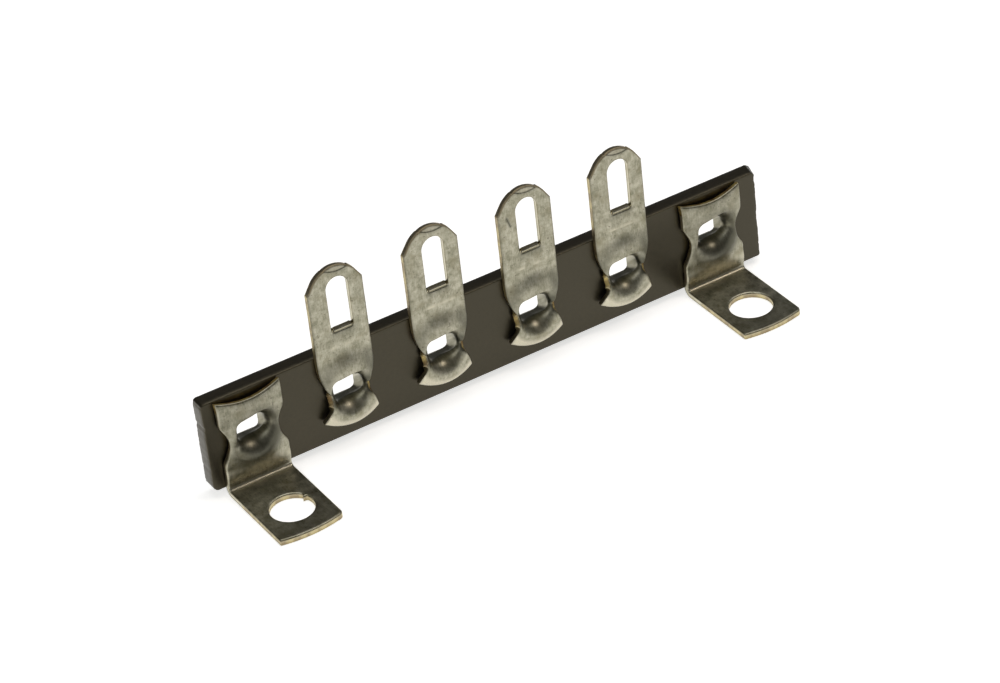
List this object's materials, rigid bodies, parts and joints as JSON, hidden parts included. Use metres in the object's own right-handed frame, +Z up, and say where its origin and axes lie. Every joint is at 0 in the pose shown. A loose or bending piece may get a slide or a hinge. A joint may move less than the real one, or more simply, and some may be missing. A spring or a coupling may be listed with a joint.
{
  "type": "terminal strip",
  "caption": "Low upright phenolic board with a row of tinned solder lugs between two screw-down feet, each clinched to the board by its own eyelet, for joining wires and component leads.",
  "frame": {"origin": "on the mounting surface, midway between the screw holes of the two feet", "axes": "+X along the strip from the left foot to the right foot, +Z up from the mounting surface along the lugs, and the feet point to -Y"},
  "size_m": [0.0572, 0.0119, 0.0183],
  "materials": {
    "phenolic": "pressed paper laminate with a faint texture",
    "tinned_brass": "tin-plated, satin, with bare brass on the sheared edges"
  },
  "bodies": {
    "root": {"board": "phenolic", "lug_1": "tinned_brass", "lug_2": "tinned_brass", "lug_3": "tinned_brass", "lug_4": "tinned_brass", "foot_left": "tinned_brass", "foot_right": "tinned_brass"}
  },
  "joints": []
}
